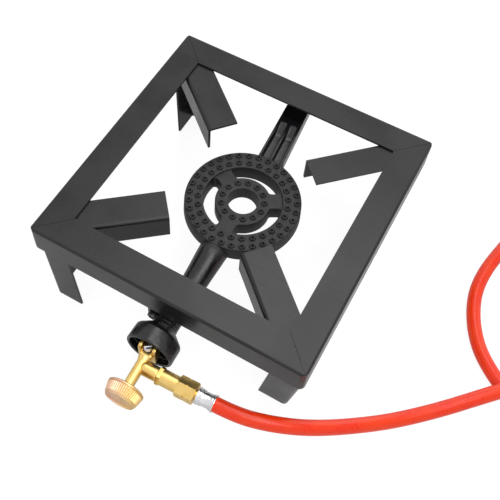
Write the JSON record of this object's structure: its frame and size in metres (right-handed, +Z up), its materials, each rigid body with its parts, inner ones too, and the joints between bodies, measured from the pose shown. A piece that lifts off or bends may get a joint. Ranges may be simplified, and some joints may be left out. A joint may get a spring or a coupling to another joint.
{
  "type": "outdoor gas burner",
  "caption": "Free-standing outdoor gas burner: a ring burner in a welded square steel stand, with a needle valve and a long flexible gas hose.",
  "frame": {"origin": "under the middle of the stand and its valve, on the floor, measured without the hose", "axes": "+X towards the gas inlet and the hose, -Y towards the valve's knob, +Z up"},
  "size_m": [0.6672, 0.5212, 0.12],
  "materials": {
    "black_steel": "semi-gloss black paint",
    "black_cast_iron": "satin black paint on cast iron",
    "zinc_screw": "bright zinc plate",
    "brass": "machined brass",
    "knob_brass": "knurled reddish brass",
    "packing": "white packing",
    "seal_rubber": "black sealing rubber",
    "chrome": "bright plated sleeve",
    "orange_hose": "smooth orange gas hose"
  },
  "bodies": {
    "burner": {"frame_bar_front": "black_steel", "frame_bar_right": "black_steel", "frame_bar_back": "black_steel", "frame_bar_left": "black_steel", "leg_front_left": "black_steel", "leg_front_right": "black_steel", "leg_back_right": "black_steel", "leg_back_left": "black_steel", "pot_support_front_left": "black_steel", "pot_support_front_right": "black_steel", "pot_support_back_right": "black_steel", "pot_support_back_left": "black_steel", "burner_casting": "black_cast_iron", "burner_fixing_tab": "black_steel", "burner_fixing_screws": "zinc_screw", "valve_body": "brass", "injector": "brass", "valve_clamp_screw": "zinc_screw", "gland_packing": "packing", "packing_gland": "brass", "inlet_adaptor": "brass", "union_nut": "brass", "union_washer": "seal_rubber", "hose_tail": "brass", "hose_ferrule": "chrome", "gas_hose": "orange_hose", "gas_hose_loop": "orange_hose", "end_ferrule": "chrome", "end_hose_tail": "brass"},
    "needle": {"needle_spindle": "brass"},
    "knob": {"control_knob": "knob_brass"},
    "end_nut": {"end_union_nut": "brass"}
  },
  "joints": [
    {"name": "needle_lift", "type": "slide", "parent": "burner", "child": "needle", "axis": [0.0384, -0.9993, 0], "range_m": [0, 0.0015]},
    {"name": "knob_turn", "type": "hinge", "parent": "needle", "child": "knob", "pos_m": [0.00591, -0.15578, 0.072], "axis": [0.0384, -0.9993, 0], "range_deg": [0, 540]},
    {"name": "end_nut_spin", "type": "hinge", "parent": "burner", "child": "end_nut", "pos_m": [0.46249, 0.32315, 0.01137], "axis": [-0.3223, 0.9466, 0], "continuous": true}
  ],
  "couplings": [
    {"joint": "needle_lift", "follows": "knob_turn", "m_per_rad": 0.00015915}
  ]
}
